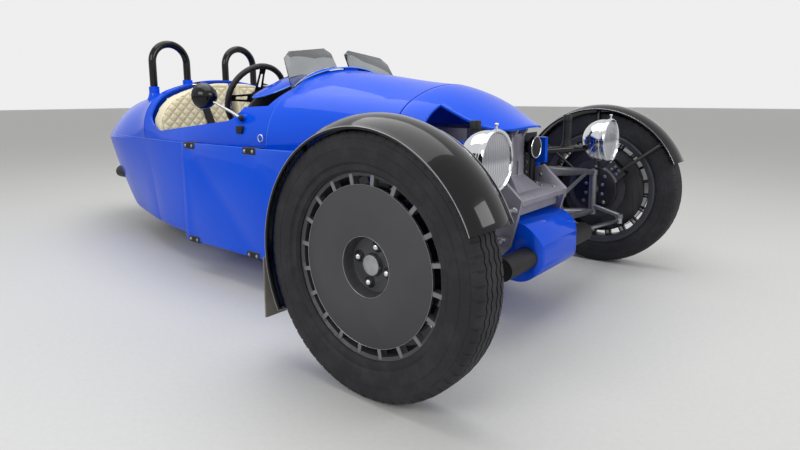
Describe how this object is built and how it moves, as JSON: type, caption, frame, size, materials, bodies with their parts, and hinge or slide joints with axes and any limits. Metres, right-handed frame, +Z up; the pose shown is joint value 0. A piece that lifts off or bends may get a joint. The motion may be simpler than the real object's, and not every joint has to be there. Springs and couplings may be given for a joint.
{
  "type": "three-wheeled open sports car",
  "caption": "Open two-seat car with a pair of steered front wheels outside a tapering body, one driven rear wheel, cycle wings, side plates and roll hoops.",
  "frame": {"origin": "on the ground, at the middle of the bottom of the bounding box", "axes": "-Y forward along the car, +X to the car's left, +Z up"},
  "size_m": [1.858, 3.5812, 1.1319],
  "materials": {
    "body_paint": "high gloss blue",
    "black_paint": "high gloss black",
    "black_plastic": "satin black",
    "cast_aluminium": "satin, fine sand texture",
    "steel_tube": "satin dark grey",
    "bright_steel": "bright",
    "cream_leather": "quilted, low sheen",
    "chrome": "mirror",
    "lamp_glass": "clear",
    "tinted_screen": "tinted clear",
    "wheel_paint": "satin dark grey",
    "tyre_rubber": "matte black",
    "flap_rubber": "matte grey-beige"
  },
  "bodies": {
    "body": {"body_tub": "body_paint", "scuttle": "body_paint", "dash_cowl": "body_paint", "dashboard": "black_plastic", "tail_sides": "body_paint", "tail_deck": "body_paint", "front_casting": "cast_aluminium", "chin": "body_paint", "engine_block": "cast_aluminium", "horn": "black_plastic", "wishbones": "steel_tube", "rack_housing": "black_plastic", "steering_column": "black_plastic", "seat_backs": "cream_leather", "seat_cushions": "cream_leather", "side_trims": "cream_leather", "side_blades": "body_paint", "blade_brackets": "black_plastic", "headlamp_bowls": "chrome", "headlamp_lenses": "lamp_glass", "headlamp_brackets": "black_paint", "mirrors": "black_paint", "roll_hoops": "black_paint", "aero_screens": "tinted_screen", "swing_arm": "steel_tube", "tail_lamps": "black_plastic", "silencer": "bright_steel"},
    "steering": {"steering_wheel": "black_plastic"},
    "rack": {"tie_rods": "bright_steel"},
    "knuckle_left": {"upright_left": "steel_tube", "wing_left": "black_paint", "mudflap_left": "flap_rubber"},
    "wheel_left": {"front_rim_left": "wheel_paint", "front_tyre_left": "tyre_rubber", "brake_disc_left": "bright_steel"},
    "knuckle_right": {"upright_right": "steel_tube", "wing_right": "black_paint", "mudflap_right": "flap_rubber"},
    "wheel_right": {"front_rim_right": "wheel_paint", "front_tyre_right": "tyre_rubber", "brake_disc_right": "bright_steel"},
    "wheel_rear": {"rear_rim": "wheel_paint", "rear_tyre": "tyre_rubber"},
    "front_lid": {"bonnet": "body_paint"},
    "rear_lid": {"boot_lid": "body_paint"}
  },
  "joints": [
    {"name": "steering_turn", "type": "hinge", "parent": "body", "child": "steering", "pos_m": [-0.225, -0.08621, 0.814], "axis": [0, 0.9272, 0.3746], "range_deg": [-360, 360]},
    {"name": "steer_left", "type": "hinge", "parent": "body", "child": "knuckle_left", "pos_m": [0.74, -1.41221, 0.371], "axis": [0, 0, 1], "range_deg": [-30.1, 30.1]},
    {"name": "spin_left", "type": "hinge", "parent": "knuckle_left", "child": "wheel_left", "pos_m": [0.85, -1.41221, 0.371], "axis": [1, 0, 0], "continuous": true},
    {"name": "steer_right", "type": "hinge", "parent": "body", "child": "knuckle_right", "pos_m": [-0.74, -1.41221, 0.371], "axis": [0, 0, 1], "range_deg": [-30.1, 30.1]},
    {"name": "spin_right", "type": "hinge", "parent": "knuckle_right", "child": "wheel_right", "pos_m": [-0.85, -1.41221, 0.371], "axis": [1, 0, 0], "continuous": true},
    {"name": "rack_slide", "type": "slide", "parent": "body", "child": "rack", "axis": [1, 0, 0], "range_m": [-0.0762, 0.0762]},
    {"name": "spin_rear", "type": "hinge", "parent": "body", "child": "wheel_rear", "pos_m": [0, 1.02779, 0.317], "axis": [1, 0, 0], "continuous": true},
    {"name": "bonnet_lift", "type": "hinge", "parent": "body", "child": "front_lid", "pos_m": [0, -1.39621, 0.7], "axis": [1, 0, 0], "range_deg": [0, 45]},
    {"name": "boot_lift", "type": "hinge", "parent": "body", "child": "rear_lid", "pos_m": [0, 0.76529, 0.89], "axis": [1, 0, 0], "range_deg": [0, 65]}
  ],
  "couplings": [
    {"joint": "steer_left", "follows": "steering_turn", "ratio": 0.083333},
    {"joint": "steer_right", "follows": "steering_turn", "ratio": 0.083333},
    {"joint": "rack_slide", "follows": "steering_turn", "m_per_rad": 0.012083}
  ]
}
